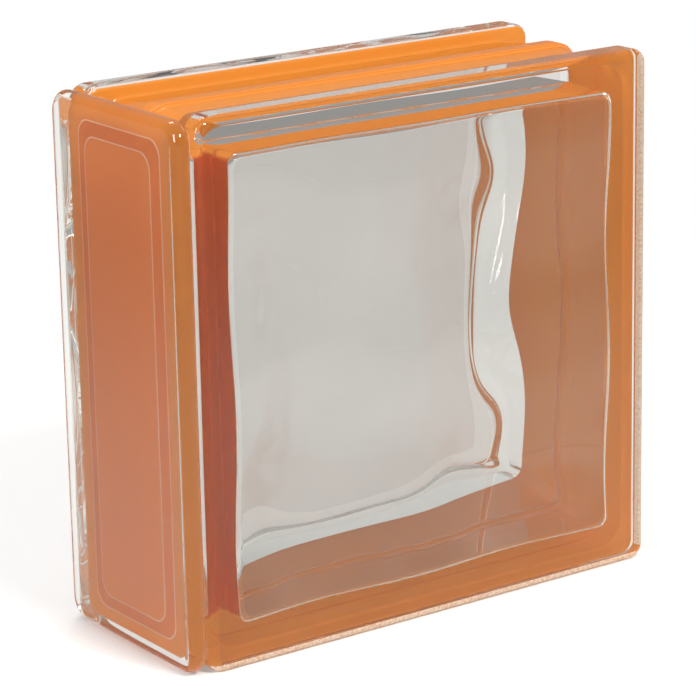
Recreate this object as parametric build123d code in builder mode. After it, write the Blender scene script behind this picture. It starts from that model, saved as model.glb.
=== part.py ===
"""Hollow glass block with one finished end: two pressed halves fused at mid depth, and a cover plate."""
import os
from math import pi, sin

from build123d import *

# Both pressed halves, square in front view, and their depth together
face_width = 190.0
block_height = 190.0
block_depth = 80.0

# Rims that run round both panes and hold the mortar channel between them
rim_depth = 12.5
rim_corner_radius = 5.5
rim_face_radius = 3.0
rim_channel_radius = 2.0

# Hollow body between the rims, with sides that rise from the rims to the seam
channel_depth = 5.5
seam_depth = 2.6
body_corner_radius = 10.0

# Ridge left where the two halves were fused, with sloping flanks
seam_width = 7.0
seam_rise = 0.7
seam_flank_width = 0.9
seam_flank_height = 1.5

# Round-edged cover plate that finishes the left end
end_thickness = 7.0
end_gap = 0.6
end_drop = 0.4
end_face_gap = 0.4
end_corner_radius = 8.0
end_edge_radius = 3.3

# Strips along which the plate is fused to the rims
bond_width = 3.5
bond_overlap = 1.0
bond_end_gap = 12.0

# Shallow pocket with sloping sides in the plate's inner face
pocket_border = 4.0
pocket_end_gap = 8.5
pocket_depth = 2.2
pocket_slope = 5.5
pocket_corner_radius = 6.0

# Sealed cavity, wider at the seam than at the panes so that each half leaves its mould
pane_thickness = 8.0
cavity_border = 13.4
cavity_draft_angle = 1.0
cavity_corner_radius = 4.0

# Waves pressed into the inner face of each pane, across it, up it and askew
across_wave_height = 1.83
across_wave_length = 80.5
upward_wave_height = 1.85
upward_wave_length = 88.4
skew_wave_height = 0.42
across_phase_share = 0.22
upward_phase_share = 0.44
skew_phase_share = 0.38
wave_points = 17
cut_overrun = 1.0

# Places worked out from the sizes above
half_width = (face_width + end_gap + end_thickness) / 2
half_depth = block_depth / 2
mid_height = block_height / 2
end_inner_x = end_thickness - half_width
rim_left = end_inner_x + end_gap
rim_middle = half_width - face_width / 2
rim_rear = half_depth - rim_depth
ridge_depth = seam_depth - seam_rise
cavity_half_depth = half_depth - pane_thickness
wave_reach = across_wave_height + upward_wave_height + skew_wave_height
pane_cut = wave_reach + cut_overrun
bond_inner_y = rim_rear + rim_channel_radius
pocket_width = 2 * (bond_inner_y - pocket_border)
pocket_height = block_height - 2 * pocket_end_gap


def outline(border, corner_radius):
    """Rounded square round the rims' middle, a border's width inside the rims."""
    with Locations((rim_middle, mid_height)):
        RectangleRounded(face_width - 2 * border, block_height - 2 * border, corner_radius)


def wave(x, z):
    """How far the waves press into the front pane at a point, measured from the middle of the block."""
    across = sin(2 * pi * (x / across_wave_length + across_phase_share))
    upward = sin(2 * pi * (z / upward_wave_length + upward_phase_share))
    skew = sin(2 * pi * (z / upward_wave_length - x / across_wave_length + skew_phase_share))
    return across_wave_height * across + upward_wave_height * upward + skew_wave_height * skew


def pane_face():
    """Wavy inner face of the front pane, larger than the cavity that it closes."""
    rows = []
    for i in range(wave_points):
        x = rim_left + face_width * i / (wave_points - 1)
        row = []
        for j in range(wave_points):
            z = block_height * j / (wave_points - 1)
            row.append((x, -cavity_half_depth - wave(x, z - mid_height), z))
        rows.append(row)
    return Face.make_surface_from_array_of_points(rows)


# Front half: a rim with soft corners and edges, the body that narrows towards it, and half of the ridge
with BuildPart() as front_half:
    with BuildSketch(Plane.XZ.offset(half_depth)):
        outline(0, rim_corner_radius)
    extrude(amount=-rim_depth)
    fillet(front_half.faces().sort_by(Axis.Y)[0].edges(), rim_face_radius)
    fillet(front_half.faces().sort_by(Axis.Y)[-1].edges(), rim_channel_radius)
    with BuildSketch(Plane.XZ):
        outline(seam_depth, body_corner_radius)
    with BuildSketch(Plane.XZ.offset(rim_rear)):
        outline(channel_depth, body_corner_radius)
    loft(ruled=True)
    with BuildSketch(Plane.XZ):
        outline(ridge_depth, body_corner_radius)
    extrude(amount=seam_width / 2)
    with BuildSketch(Plane.XZ.offset(seam_width / 2)):
        outline(ridge_depth, body_corner_radius)
    with BuildSketch(Plane.XZ.offset(seam_width / 2 + seam_flank_width)):
        outline(ridge_depth + seam_flank_height, body_corner_radius)
    loft(ruled=True)

# Cover plate with its pocket, and the strips that join it to the rims
with BuildPart() as end_plate:
    with BuildSketch(Plane.YZ.offset(-half_width)):
        with Locations((0, mid_height)):
            RectangleRounded(block_depth - 2 * end_face_gap, block_height - 2 * end_drop, end_corner_radius)
    extrude(amount=end_thickness)
    fillet(end_plate.faces().sort_by(Axis.X)[0].edges(), end_edge_radius)
    fillet(end_plate.faces().sort_by(Axis.X)[-1].edges(), end_edge_radius)
    with BuildSketch(Plane.YZ.offset(end_inner_x)):
        with Locations((0, mid_height)):
            RectangleRounded(pocket_width, pocket_height, pocket_corner_radius)
    with BuildSketch(Plane.YZ.offset(end_inner_x - pocket_depth)):
        with Locations((0, mid_height)):
            RectangleRounded(
                pocket_width - 2 * pocket_slope, pocket_height - 2 * pocket_slope, pocket_corner_radius
            )
    loft(ruled=True, mode=Mode.SUBTRACT)
    with BuildSketch(Plane.YZ.offset(end_inner_x - bond_overlap)):
        for side in (-1, 1):
            with Locations((side * (bond_inner_y + bond_width / 2), mid_height)):
                Rectangle(bond_width, block_height - 2 * bond_end_gap)
    extrude(amount=end_gap + 2 * bond_overlap)

# Glass beyond the front pane's wavy face, which the cavity leaves standing
with BuildPart() as pane:
    extrude(pane_face(), amount=2 * pane_cut, dir=(0, -1, 0))

# Front half of the sealed cavity, with drafted walls
with BuildPart() as front_cavity:
    with BuildSketch(Plane.XZ):
        outline(cavity_border, cavity_corner_radius)
    extrude(amount=cavity_half_depth + pane_cut)
    draft(front_cavity.faces().sort_by(Axis.Y)[1:-1], Plane.XZ, cavity_draft_angle)
    add(pane.part, mode=Mode.SUBTRACT)

# Both halves leave one mould, so the back half is the front one turned half round
with BuildPart() as glass_block:
    turning_axis = Axis((rim_middle, 0, 0), (0, 0, 1))
    half_turn = 180
    add(front_half.part)
    add(front_half.part.rotate(turning_axis, half_turn))
    add(end_plate.part)
    add(front_cavity.part, mode=Mode.SUBTRACT)
    add(front_cavity.part.rotate(turning_axis, half_turn), mode=Mode.SUBTRACT)

glass_block.part.label = "glass_block"
os.makedirs("parts", exist_ok=True)
export_step(glass_block.part, "parts/glass_block.step")
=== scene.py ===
"""Looks of the hollow glass block: clear glass, with an orange coat in its channel and behind its cover."""
from math import cos, pi, radians, sin, tan

import bmesh
import bpy
from mathutils import Matrix, Vector

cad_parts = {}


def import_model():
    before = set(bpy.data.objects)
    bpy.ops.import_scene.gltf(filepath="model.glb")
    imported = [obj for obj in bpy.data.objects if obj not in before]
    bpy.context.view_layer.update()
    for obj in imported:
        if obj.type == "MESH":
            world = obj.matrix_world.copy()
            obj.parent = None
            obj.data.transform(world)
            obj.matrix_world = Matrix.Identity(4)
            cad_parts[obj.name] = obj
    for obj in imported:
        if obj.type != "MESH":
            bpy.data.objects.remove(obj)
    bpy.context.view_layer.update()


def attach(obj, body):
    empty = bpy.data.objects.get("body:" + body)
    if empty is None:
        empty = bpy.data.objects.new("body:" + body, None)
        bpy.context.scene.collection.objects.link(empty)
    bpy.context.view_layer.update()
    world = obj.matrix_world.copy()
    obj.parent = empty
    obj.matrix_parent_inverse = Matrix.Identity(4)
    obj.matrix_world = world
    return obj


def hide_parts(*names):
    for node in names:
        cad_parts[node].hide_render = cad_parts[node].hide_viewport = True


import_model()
scene = bpy.context.scene

# Sizes in millimetres, as the block's own source has them: both pressed halves together
MM = 0.001
face_width = 190.0
block_height = 190.0
block_depth = 80.0

# Rims that run round both panes
rim_depth = 12.5
rim_corner_radius = 5.5
rim_face_radius = 3.0
rim_channel_radius = 2.0

# Channel between the rims, which rises to the ridge along the seam
channel_depth = 5.5
seam_depth = 2.6
body_corner_radius = 10.0
seam_width = 7.0
seam_rise = 0.7
seam_flank_width = 0.9

# Cover plate on the left end, and the strips along which it is fused to the rims
end_thickness = 7.0
end_gap = 0.6
end_drop = 0.4
end_face_gap = 0.4
end_corner_radius = 8.0
end_edge_radius = 3.3
bond_width = 3.5
bond_overlap = 1.0
bond_end_gap = 12.0

# Shallow pocket in the plate's inner face
pocket_border = 4.0
pocket_end_gap = 8.5
pocket_depth = 2.2
pocket_slope = 5.5
pocket_corner_radius = 6.0

# Sealed cavity, and the waves pressed into the inner face of each pane
pane_thickness = 8.0
cavity_border = 13.4
cavity_draft_angle = 1.0
cavity_corner_radius = 4.0
across_wave_height = 1.83
across_wave_length = 80.5
upward_wave_height = 1.85
upward_wave_length = 88.4
skew_wave_height = 0.42
across_phase_share = 0.22
upward_phase_share = 0.44
skew_phase_share = 0.38

# Fine relief that only the looks need: ripples over the waves, with their directions in degrees
ripple_height = 0.5
rising_ripple_length = 72.5
rising_ripple_direction = 41
rising_ripple_phase_share = 0.02
level_ripple_length = 70.5
level_ripple_direction = 182
level_ripple_phase_share = 0.89
upright_ripple_length = 95.0
upright_ripple_direction = 108
upright_ripple_phase_share = 0.79

# Fine relief that only the looks need: soft edges, the coat, and the bead along the seam inside the cavity
channel_fillet = 1.5
ridge_edge_radius = 0.6
cavity_edge_radius = 2.0
coat_thickness = 0.05
bond_corner_radius = 0.3
pocket_edge_share = 0.09
bead_width = 3.0
bead_height = 1.2
bead_sway = 0.5
bead_sway_length = 21.0

# Places worked out from the sizes above
half_width = (face_width + end_gap + end_thickness) / 2
half_depth = block_depth / 2
mid_height = block_height / 2
end_inner_x = end_thickness - half_width
rim_left = end_inner_x + end_gap
rim_middle = half_width - face_width / 2
rim_rear = half_depth - rim_depth
ridge_depth = seam_depth - seam_rise
cavity_half_depth = half_depth - pane_thickness
bond_inner_y = rim_rear + rim_channel_radius

# How finely the meshes are cut, and how far beside a rounded edge its flat face begins
CORNER_STEPS = 10
SIDE_STEPS = 70
ROUND_STEPS = 7
PANE_RINGS = 70
SUPPORT = 0.3
SHARP_ANGLE = radians(32)

# Material slots of the one mesh, two of them painted shade and painted highlight, and where the coat, the
# painted highlight on the seam and the rough edge begin or end
SLOTS = range(6)
GLASS, COAT, PANE, SHADED_SLOPE, ROUGH, PAINTED_HIGHLIGHT = SLOTS
COAT_START = radians(40)
PAINTED_HIGHLIGHT_BANDS = range(2, 5)
ROUGH_REACH = 0.3

# Glass
GLASS_IOR = 1.5
CLEAR_TINT = (0.90, 0.91, 0.88)
PANE_TINT = (0.74, 0.725, 0.70)

# Fired coat, with the share of light that comes through it; a darker copy is painted shade on the pocket's
# slope, and a pale copy is painted highlight on the seam bead and the pocket's edges
COAT_COLOUR = (0.94, 0.34, 0.05)
SHADED_SLOPE_COLOUR = (0.88, 0.27, 0.03)
PAINTED_HIGHLIGHT_COLOUR = (1.0, 0.66, 0.40)
COAT_ROUGHNESS = 0.15
COAT_SPECULAR = 0.5
COAT_THROUGH_SHARE = 0.45

# Rough edge, with the grain's colours and the noise values where they are reached; the knurled grain is
# real, and its pale cream tone is partly painted light, brightened against the shade at the block's foot
GRAIN_DARK = (0.85, 0.58, 0.38)
GRAIN_PALE = (1.0, 0.87, 0.72)
GRAIN_SPAN = (0.35, 0.6)
GRAIN_SCALE = 900.0
EDGE_ROUGHNESS = 0.6
EDGE_THROUGH_SHARE = 0.5

# Floor in metres: its glow sets in over one span round the block, and its white paper ends over another
FLOOR_REACH = 6.0
FLOOR_COLOUR = (0.9, 0.9, 0.9)
FLOOR_ROUGHNESS = 0.9
GLOW_SPAN = (0.18, 0.5)
GLOW_THROUGH_SHARE = 0.75
PAPER_SPAN = (0.29, 0.6)
WHITE_FLOOR = 1.0
PALE_FLOOR = 0.65

# Studio round the paper, dim below the span of upward directions and bright above it
STUDIO_COLOUR = (1, 0.99, 0.97)
STUDIO_SPAN = (0.15, 0.75)
DIM_STUDIO = 0.38
BRIGHT_STUDIO = 0.6
BOUNCES = 32
GLOSSY_BOUNCES = 16

# Camera: angles of the view, place in metres, and the lens in pixels of the square picture
VIEW_AZIMUTH = radians(-35.343)
VIEW_ELEVATION = radians(15.92)
VIEW_ROLL = radians(-1.121)
VIEW_DISTANCE = 1.09678
VIEW_ASIDE = -0.00386
VIEW_ABOVE = -0.00565
FRAME_PIXELS = 696
FOCAL_PIXELS = 3107.86
SENSOR_WIDTH = 36


def put(name, data):
    """New object in the scene."""
    thing = bpy.data.objects.new(name, data)
    scene.collection.objects.link(thing)
    return thing


def wave(x, z):
    """How far the waves press into the front pane at a point, measured from the middle of the block."""
    across = sin(2 * pi * (x / across_wave_length + across_phase_share))
    upward = sin(2 * pi * (z / upward_wave_length + upward_phase_share))
    skew = sin(2 * pi * (z / upward_wave_length - x / across_wave_length + skew_phase_share))
    pressed = across_wave_height * across + upward_wave_height * upward + skew_wave_height * skew
    ripples = (
        (rising_ripple_length, rising_ripple_direction, rising_ripple_phase_share),
        (level_ripple_length, level_ripple_direction, level_ripple_phase_share),
        (upright_ripple_length, upright_ripple_direction, upright_ripple_phase_share),
    )
    for length, direction, share in ripples:
        along = x * cos(radians(direction)) + z * sin(radians(direction))
        pressed += ripple_height * sin(2 * pi * (along / length + share))
    return pressed


def rounded_loop(left, right, low, high, radius, side_steps=0):
    """Points of a rectangle with round corners, always as many, so that one loop skins to the next."""
    corners = (
        (right - radius, low + radius, -90),
        (right - radius, high - radius, 0),
        (left + radius, high - radius, 90),
        (left + radius, low + radius, 180),
    )
    arcs = []
    for across, up, start in corners:
        turns = [radians(start + 90 * n / CORNER_STEPS) for n in range(CORNER_STEPS + 1)]
        arcs.append([(across + radius * cos(t), up + radius * sin(t)) for t in turns])
    points = []
    for arc, next_arc in zip(arcs, arcs[1:] + arcs[:1]):
        points += arc
        begin, end = arc[-1], next_arc[0]
        for step in range(1, side_steps + 1):
            share = step / (side_steps + 1)
            across = begin[0] + (end[0] - begin[0]) * share
            up = begin[1] + (end[1] - begin[1]) * share
            points.append((across, up))
    return points


def outline(border, radius, side_steps=0):
    """Rounded square round the rims' middle, a border's width inside the rims."""
    reach = face_width / 2 - border
    return rounded_loop(
        rim_middle - reach, rim_middle + reach, mid_height - reach, mid_height + reach, radius, side_steps)


def quarter_turns():
    """Angles from 0 to 90 degrees for a rounded edge."""
    return [radians(90 * n / ROUND_STEPS) for n in range(ROUND_STEPS + 1)]


def skin(rings, name, inward=False):
    """Closed mesh through rings, each (points, slot of the band that follows), with flat caps."""
    mesh = bmesh.new()
    loops = [[mesh.verts.new(Vector(p) * MM) for p in points] for points, _ in rings]
    for here, there, (_, slot) in zip(loops, loops[1:], rings):
        for n in range(len(here)):
            after = (n + 1) % len(here)
            face = mesh.faces.new((here[n], here[after], there[after], there[n]))
            face.material_index = slot
    mesh.faces.new(loops[0]).material_index = rings[0][1]
    mesh.faces.new(loops[-1]).material_index = rings[-1][1]
    bmesh.ops.recalc_face_normals(mesh, faces=mesh.faces)
    if inward:
        bmesh.ops.reverse_faces(mesh, faces=mesh.faces)
    data = bpy.data.meshes.new(name)
    mesh.to_mesh(data)
    mesh.free()
    return data


def block_half():
    """Rings of the outer form's front half, from its face to the ridge, as (outline, depth, slot)."""
    rings = []

    def rim(inset, y, slot):
        rings.append((outline(inset, rim_corner_radius - min(inset, rim_corner_radius / 2)), y, slot))

    def body(border, y, slot):
        rings.append((outline(border, body_corner_radius), y, slot))

    def floor_border(y):
        """Depth of the channel's floor, which rises from the rim to the seam."""
        return seam_depth + (channel_depth - seam_depth) * abs(y) / rim_rear

    rim(rim_face_radius + SUPPORT, -half_depth, PANE)
    for turn in quarter_turns():
        rim(rim_face_radius * (1 - sin(turn)), -half_depth + rim_face_radius * (1 - cos(turn)), GLASS)
    rim(0, -half_depth + rim_face_radius + SUPPORT, GLASS)
    rim(0, -rim_rear - rim_channel_radius - SUPPORT, GLASS)
    for turn in quarter_turns():
        slot = COAT if turn > COAT_START else GLASS
        rim(rim_channel_radius * (1 - cos(turn)), -rim_rear - rim_channel_radius * (1 - sin(turn)), slot)
    body(channel_depth - channel_fillet - SUPPORT, -rim_rear, COAT)
    for turn in quarter_turns():
        y = -rim_rear + channel_fillet * (1 - cos(turn))
        body(floor_border(y) - channel_fillet * (1 - sin(turn)), y, COAT)
    foot = -seam_width / 2 - seam_flank_width
    body(floor_border(foot - SUPPORT), foot - SUPPORT, COAT)
    body(floor_border(foot), foot, COAT)
    top = -seam_width / 2
    for turn in quarter_turns():
        border = ridge_depth + ridge_edge_radius * (1 - sin(turn))
        body(border, top + ridge_edge_radius * (1 - cos(turn)), COAT)
    return rings


def block_skin():
    """Outer form of both halves."""
    front = block_half()
    back = [(loop, -y, slot) for loop, y, slot in reversed(front)]
    slots = [slot for _, _, slot in front] + [slot for _, _, slot in back][1:] + [PANE]
    rings = front + back
    return skin([([(x, y, z) for x, z in loop], slot) for (loop, y, _), slot in zip(rings, slots)], "block")


def end_skin():
    """Round-edged cover plate, with the shallow pocket in its coated inner face."""
    half_plate = half_depth - end_face_gap
    rings = []

    def ring(half_span, border, x, slot, radius):
        """Ring at one place across the plate, its border measured from the block's bottom and top."""
        loop = rounded_loop(-half_span, half_span, border, block_height - border, radius)
        rings.append(([(x, y, z) for y, z in loop], slot))

    def edge_ring(inset, x):
        ring(half_plate - inset, end_drop + inset, x, GLASS, end_corner_radius - inset)

    flat_inset = end_edge_radius + SUPPORT
    flat_radius = end_corner_radius - end_edge_radius
    ring(half_plate - flat_inset, end_drop + flat_inset, -half_width, GLASS, flat_radius)
    for turn in quarter_turns():
        edge_ring(end_edge_radius * (1 - sin(turn)), -half_width + end_edge_radius * (1 - cos(turn)))
    for turn in quarter_turns():
        edge_ring(end_edge_radius * (1 - cos(turn)), end_inner_x - end_edge_radius * (1 - sin(turn)))
    ring(bond_inner_y + bond_width / 2, end_drop + flat_inset, end_inner_x, COAT, flat_radius)
    half_pocket = bond_inner_y - pocket_border
    # The pocket's slope is a darker band of painted shade, with thin bands of painted highlight at its
    # edges.
    bands = ((0, PAINTED_HIGHLIGHT), (pocket_edge_share, SHADED_SLOPE), (1 - pocket_edge_share, PAINTED_HIGHLIGHT), (1, COAT))
    for share, slot in bands:
        inset = pocket_slope * share
        x = end_inner_x - pocket_depth * share
        ring(half_pocket - inset, pocket_end_gap + inset, x, slot, pocket_corner_radius)
    return skin(rings, "cover")


def bond_skin(facing):
    """Strip along which the cover is fused to one rim, with the fired coat between them."""
    middle = facing * (bond_inner_y + bond_width / 2)
    rings = []
    for x in (end_inner_x + coat_thickness, rim_left + bond_overlap):
        loop = rounded_loop(middle - bond_width / 2, middle + bond_width / 2,
                            bond_end_gap, block_height - bond_end_gap, bond_corner_radius)
        rings.append(([(x, y, z) for y, z in loop], GLASS))
    return skin(rings, "bond")


def cavity_skin():
    """Sealed hollow: drafted walls with a bead at the seam, rounded edges and two wavy pane faces."""
    slope = tan(radians(cavity_draft_angle))
    pane_border = cavity_border + slope * cavity_half_depth

    def pane_depth(facing, x, z):
        """Depth of a pane's wavy face; the back pane is the front one turned half round."""
        along = x if facing < 0 else 2 * rim_middle - x
        return facing * (cavity_half_depth + wave(along, z - mid_height))

    def pane(facing):
        """Rings from the middle of a pane to its drafted wall."""
        rings = []
        flat_border = pane_border + cavity_edge_radius
        flat_reach = face_width / 2 - flat_border
        for n in range(PANE_RINGS):
            share = (n + 1) / (PANE_RINGS + 1)
            loop = outline(flat_border + flat_reach * (1 - share), cavity_corner_radius * share, SIDE_STEPS)
            rings.append(([(x, pane_depth(facing, x, z), z) for x, z in loop], PANE))
        for turn in quarter_turns():
            drop = facing * cavity_edge_radius * (1 - cos(turn))
            border = pane_border + cavity_edge_radius * (1 - sin(turn))
            loop = outline(border, cavity_corner_radius, SIDE_STEPS)
            rings.append(([(x, pane_depth(facing, x, z) - drop, z) for x, z in loop], GLASS))
        return rings

    def bead():
        """Rings across the bead's round section, which sways a little as it runs round the walls."""
        rings = []
        for n in range(ROUND_STEPS + 1):
            share = 2 * n / ROUND_STEPS - 1
            y = bead_width / 2 * share
            height = bead_height * (1 - share ** 2)
            loop = outline(cavity_border + slope * abs(y) + height, cavity_corner_radius, SIDE_STEPS)
            ring = [(x, y + bead_sway * sin(2 * pi * (x + z) / bead_sway_length), z) for x, z in loop]
            # The bead's middle bands take the painted highlight.
            rings.append((ring, PAINTED_HIGHLIGHT if n in PAINTED_HIGHLIGHT_BANDS else GLASS))
        return rings

    return skin(pane(-1) + bead() + list(reversed(pane(1))), "cavity", inward=True)


def union(meshes):
    """All the meshes joined into one closed surface."""
    things = []
    for data in meshes:
        for _ in SLOTS:
            data.materials.append(None)
        things.append(put(data.name, data))
    for other in things[1:]:
        joiner = things[0].modifiers.new(other.name, "BOOLEAN")
        joiner.operation = "UNION"
        joiner.solver = "EXACT"
        joiner.object = other
    bpy.context.view_layer.update()
    graph = bpy.context.evaluated_depsgraph_get()
    joined = bpy.data.meshes.new_from_object(things[0].evaluated_get(graph))
    for thing in things:
        bpy.data.objects.remove(thing)
    return joined


def new_material(name):
    """New material, with its node tree and its main shader."""
    material = bpy.data.materials.new(name)
    material.use_nodes = True
    return material, material.node_tree, material.node_tree.nodes["Principled BSDF"]


def set_inputs(node, values):
    """Constants on a node's own sockets."""
    for name, value in values.items():
        node.inputs[name].default_value = value


def map_range(tree, value, span, result):
    """Socket that goes from one end of the result to the other as a value crosses the span."""
    node = tree.nodes.new("ShaderNodeMapRange")
    (start, stop), (first, last) = span, result
    set_inputs(node, {"From Min": start, "From Max": stop, "To Min": first, "To Max": last})
    tree.links.new(value, node.inputs["Value"])
    return node.outputs[0]


def calculate(tree, kind, operation, *values):
    """Socket with the result of a sum on other sockets or constants."""
    node = tree.nodes.new(kind)
    node.operation = operation
    for socket, value in zip(node.inputs, values):
        if isinstance(value, bpy.types.NodeSocket):
            tree.links.new(value, socket)
        else:
            socket.default_value = value
    return node.outputs["Value"]


def mix_surface(tree, first, second):
    """Surface of two mixed shaders; gives the socket that takes the second one's share."""
    mix = tree.nodes.new("ShaderNodeMixShader")
    tree.links.new(first.outputs[0], mix.inputs[1])
    tree.links.new(second.outputs[0], mix.inputs[2])
    tree.links.new(mix.outputs[0], tree.nodes["Material Output"].inputs["Surface"])
    return mix.inputs[0]


def glass_material(name, tint):
    """Clear glass with a faint tint."""
    material, _, shader = new_material(name)
    set_inputs(shader, {
        "Base Color": (*tint, 1), "Roughness": 0.0, "IOR": GLASS_IOR, "Transmission Weight": 1.0})
    return material


def coat_material(name, colour):
    """Fired coat, lit through from behind and glossy on its outer side alone; darker and paler copies of it
    paint shade and highlight.
    """
    material, tree, shader = new_material(name)
    set_inputs(shader, {"Base Color": (*colour, 1), "Roughness": COAT_ROUGHNESS})
    behind = tree.nodes.new("ShaderNodeNewGeometry").outputs["Backfacing"]
    gloss = map_range(tree, behind, (0, 1), (COAT_SPECULAR, 0))
    tree.links.new(gloss, shader.inputs["Specular IOR Level"])
    through = tree.nodes.new("ShaderNodeBsdfTranslucent")
    set_inputs(through, {"Color": (*colour, 1)})
    mix_surface(tree, shader, through).default_value = COAT_THROUGH_SHARE
    return material


def rough_material():
    """Knurled bearing edge of the front rim, scattering; its pale cream tone is partly painted light,
    brightened against the shade at the block's foot.
    """
    material, tree, shader = new_material("rough_edge_and_painted_light")
    set_inputs(shader, {"Roughness": EDGE_ROUGHNESS})
    place = tree.nodes.new("ShaderNodeTexCoord")
    grain = tree.nodes.new("ShaderNodeTexNoise")
    set_inputs(grain, {"Scale": GRAIN_SCALE})
    tree.links.new(place.outputs["Object"], grain.inputs["Vector"])
    tone = tree.nodes.new("ShaderNodeValToRGB")
    for stop, position, colour in zip(tone.color_ramp.elements, GRAIN_SPAN, (GRAIN_DARK, GRAIN_PALE)):
        stop.position = position
        stop.color = (*colour, 1)
    through = tree.nodes.new("ShaderNodeBsdfTranslucent")
    tree.links.new(grain.outputs["Fac"], tone.inputs["Fac"])
    tree.links.new(tone.outputs["Color"], shader.inputs["Base Color"])
    tree.links.new(tone.outputs["Color"], through.inputs["Color"])
    mix_surface(tree, shader, through).default_value = EDGE_THROUGH_SHARE
    return material


def floor_material():
    """White paper that shows its shadow near the block, and glows further out and behind glass."""
    material, tree, shader = new_material("pale_floor")
    set_inputs(shader, {
        "Base Color": (*FLOOR_COLOUR, 1), "Roughness": FLOOR_ROUGHNESS, "Specular IOR Level": 0.0})
    place = tree.nodes.new("ShaderNodeTexCoord").outputs["Object"]
    distance = calculate(tree, "ShaderNodeVectorMath", "LENGTH", place)
    fade = map_range(tree, distance, GLOW_SPAN, (0, 1))
    behind_glass = tree.nodes.new("ShaderNodeLightPath").outputs["Is Transmission Ray"]
    through = calculate(tree, "ShaderNodeMath", "MULTIPLY", behind_glass, GLOW_THROUGH_SHARE)
    sideways = (cos(VIEW_AZIMUTH), sin(VIEW_AZIMUTH), 0)
    aside = calculate(tree, "ShaderNodeVectorMath", "DOT_PRODUCT", place, sideways)
    offset = calculate(tree, "ShaderNodeMath", "ABSOLUTE", aside)
    paper = map_range(tree, offset, PAPER_SPAN, (WHITE_FLOOR, PALE_FLOOR))
    glow = tree.nodes.new("ShaderNodeEmission")
    tree.links.new(paper, glow.inputs["Strength"])
    share = calculate(tree, "ShaderNodeMath", "MAXIMUM", fade, through)
    tree.links.new(share, mix_surface(tree, shader, glow))
    return material


def mark_faces(mesh):
    """Smooth faces with sharp edges, and the rough slot on the front rim's bearing edges."""
    for face in mesh.faces:
        face.smooth = True
        spot = face.calc_center_median() / MM
        on_flat = rim_rear + rim_channel_radius < -spot.y < half_depth - rim_face_radius
        bearing = spot.z < ROUGH_REACH or spot.x > half_width - ROUGH_REACH
        on_fillet = half_depth - rim_face_radius < -spot.y and spot.z < rim_face_radius
        if (on_flat and bearing) or on_fillet:
            face.material_index = ROUGH
    for edge in mesh.edges:
        edge.smooth = len(edge.link_faces) == 2 and edge.calc_face_angle(pi) < SHARP_ANGLE


def block():
    """The whole block as one mesh: outer form, cover plate and sealed cavity."""
    mesh = bmesh.new()
    for data in (union([block_skin(), bond_skin(-1), bond_skin(1)]), end_skin(), cavity_skin()):
        mesh.from_mesh(data)
    mark_faces(mesh)
    data = bpy.data.meshes.new("glass_block_glass")
    mesh.to_mesh(data)
    mesh.free()
    materials = {
        GLASS: glass_material("clear_glass", CLEAR_TINT),
        COAT: coat_material("orange_coat", COAT_COLOUR),
        PANE: glass_material("pane_glass", PANE_TINT),
        # Painted shade on the pocket's slope, and painted highlight on the seam bead and the pocket's
        # edges.
        SHADED_SLOPE: coat_material("painted_shade_slope_coat", SHADED_SLOPE_COLOUR),
        ROUGH: rough_material(),
        PAINTED_HIGHLIGHT: coat_material("painted_highlight", PAINTED_HIGHLIGHT_COLOUR),
    }
    for slot in SLOTS:
        data.materials.append(materials[slot])
    piece = put("glass_block_glass", data)
    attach(piece, "root")
    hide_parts("glass_block")


def floor():
    """Flat floor that the block stands on."""
    data = bpy.data.meshes.new("floor")
    corners = [(x * FLOOR_REACH, y * FLOOR_REACH, 0) for x, y in ((-1, -1), (1, -1), (1, 1), (-1, 1))]
    data.from_pydata(corners, [], [(0, 1, 2, 3)])
    data.materials.append(floor_material())
    thing = put("floor", data)


def lamp(name, place, aim, width, height, watts):
    """Soft box that points at a place."""
    data = bpy.data.lights.new(name, "AREA")
    data.shape = "RECTANGLE"
    data.size = width
    data.size_y = height
    data.energy = watts
    thing = put(name, data)
    thing.location = place
    thing.rotation_euler = (Vector(aim) - Vector(place)).to_track_quat("-Z", "Y").to_euler()


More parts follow.
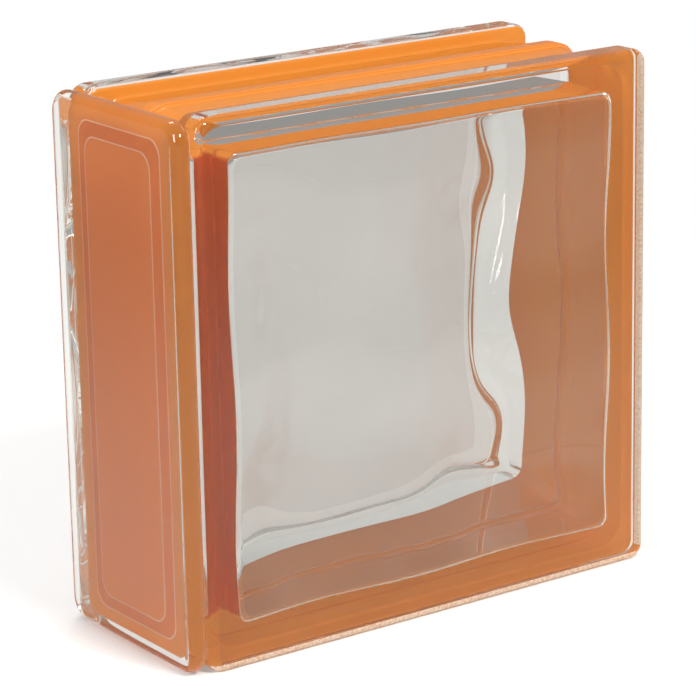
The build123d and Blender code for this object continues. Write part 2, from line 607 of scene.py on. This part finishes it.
def world():
    """Studio round the paper: dim near the horizon, so that edges draw dark lines, and bright overhead."""
    data = bpy.data.worlds.new("studio")
    scene.world = data
    data.use_nodes = True
    tree = data.node_tree
    background = tree.nodes["Background"]
    set_inputs(background, {"Color": (*STUDIO_COLOUR, 1)})
    place = tree.nodes.new("ShaderNodeTexCoord")
    parts = tree.nodes.new("ShaderNodeSeparateXYZ")
    tree.links.new(place.outputs["Generated"], parts.inputs[0])
    strength = map_range(tree, parts.outputs["Z"], STUDIO_SPAN, (DIM_STUDIO, BRIGHT_STUDIO))
    tree.links.new(strength, background.inputs["Strength"])


def camera():
    """Camera at the photograph's angle: a long lens, a little tilted."""
    level = cos(VIEW_ELEVATION)
    back = Vector((sin(VIEW_AZIMUTH) * level, -cos(VIEW_AZIMUTH) * level, sin(VIEW_ELEVATION)))
    right = Vector((cos(VIEW_AZIMUTH), sin(VIEW_AZIMUTH), 0))
    up = back.cross(right)
    across = right * cos(VIEW_ROLL) + up * sin(VIEW_ROLL)
    upward = up * cos(VIEW_ROLL) - right * sin(VIEW_ROLL)
    data = bpy.data.cameras.new("camera")
    data.sensor_width = SENSOR_WIDTH
    data.lens = FOCAL_PIXELS / FRAME_PIXELS * data.sensor_width
    thing = put("camera", data)
    centre = Vector((0, 0, mid_height * MM))
    spot = centre + back * VIEW_DISTANCE + across * VIEW_ASIDE + upward * VIEW_ABOVE
    turn = Matrix((across, upward, back)).transposed()
    thing.matrix_world = Matrix.Translation(spot) @ turn.to_4x4()
    scene.camera = thing


block()
floor()
lamp("overhead", place=(0.1, 0.5, 1.3), aim=(0, 0.05, 0.1), width=0.5, height=0.25, watts=4.5)
lamp("left_side", place=(-1.3, -0.5, 0.7), aim=(0, 0, 0.1), width=0.4, height=0.7, watts=14)
lamp("front", place=(0.1, -1.1, 1.1), aim=(0, 0, 0.05), width=0.4, height=0.3, watts=14)
lamp("right_side", place=(1.2, 0.1, 0.6), aim=(0, 0, 0.1), width=0.5, height=0.8, watts=3.5)
world()
camera()
scene.view_settings.view_transform = "Standard"
scene.cycles.max_bounces = BOUNCES
scene.cycles.transmission_bounces = BOUNCES
scene.cycles.glossy_bounces = GLOSSY_BOUNCES
